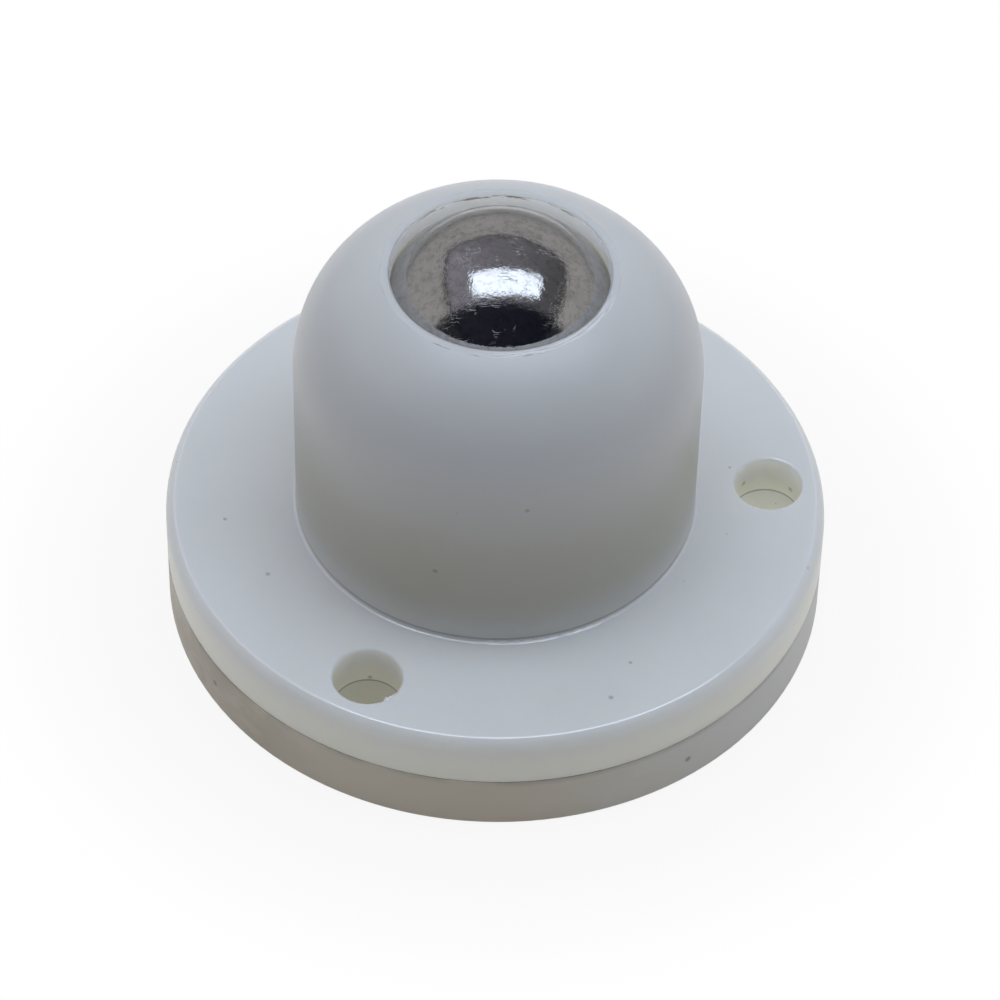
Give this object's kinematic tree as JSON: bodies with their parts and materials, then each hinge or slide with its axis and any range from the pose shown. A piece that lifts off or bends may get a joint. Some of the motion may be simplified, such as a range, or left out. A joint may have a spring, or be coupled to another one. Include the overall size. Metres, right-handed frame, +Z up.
{
  "type": "ball castor",
  "caption": "Ball castor: a polished steel ball that rolls every way in a domed, flanged off-white nylon housing, screwed down through a matching base plate.",
  "frame": {"origin": "centre of the base plate's underside", "axes": "+Z up along the housing's axis to the ball; the picture looks along +Y, with +X to the right"},
  "size_m": [0.07, 0.07, 0.0498],
  "materials": {
    "housing_nylon": "satin natural nylon",
    "base_nylon": "satin natural nylon, greyer",
    "ball_steel": "polished steel, lightly smudged",
    "bearing_steel": "polished steel",
    "race_steel": "hardened steel"
  },
  "bodies": {
    "housing": {"housing": "housing_nylon", "base_plate": "base_nylon", "race_cup": "race_steel"},
    "bearing_set": {"bearing_ball_01": "bearing_steel", "bearing_ball_02": "bearing_steel", "bearing_ball_03": "bearing_steel", "bearing_ball_04": "bearing_steel", "bearing_ball_05": "bearing_steel", "bearing_ball_06": "bearing_steel", "bearing_ball_07": "bearing_steel", "bearing_ball_08": "bearing_steel", "bearing_ball_09": "bearing_steel", "bearing_ball_10": "bearing_steel", "bearing_ball_11": "bearing_steel", "bearing_ball_12": "bearing_steel", "bearing_ball_13": "bearing_steel", "bearing_ball_14": "bearing_steel", "bearing_ball_15": "bearing_steel", "bearing_ball_16": "bearing_steel", "bearing_ball_17": "bearing_steel", "bearing_ball_18": "bearing_steel", "bearing_ball_19": "bearing_steel"},
    "load_ball": {"load_ball": "ball_steel"}
  },
  "joints": [
    {"name": "bearing_orbit", "type": "hinge", "parent": "housing", "child": "bearing_set", "pos_m": [0, 0, 0.03715], "axis": [0, 0, 1], "continuous": true},
    {"name": "ball_roll", "type": "hinge", "parent": "bearing_set", "child": "load_ball", "pos_m": [0, 0, 0.03715], "axis": [0, 1, 0], "continuous": true}
  ]
}
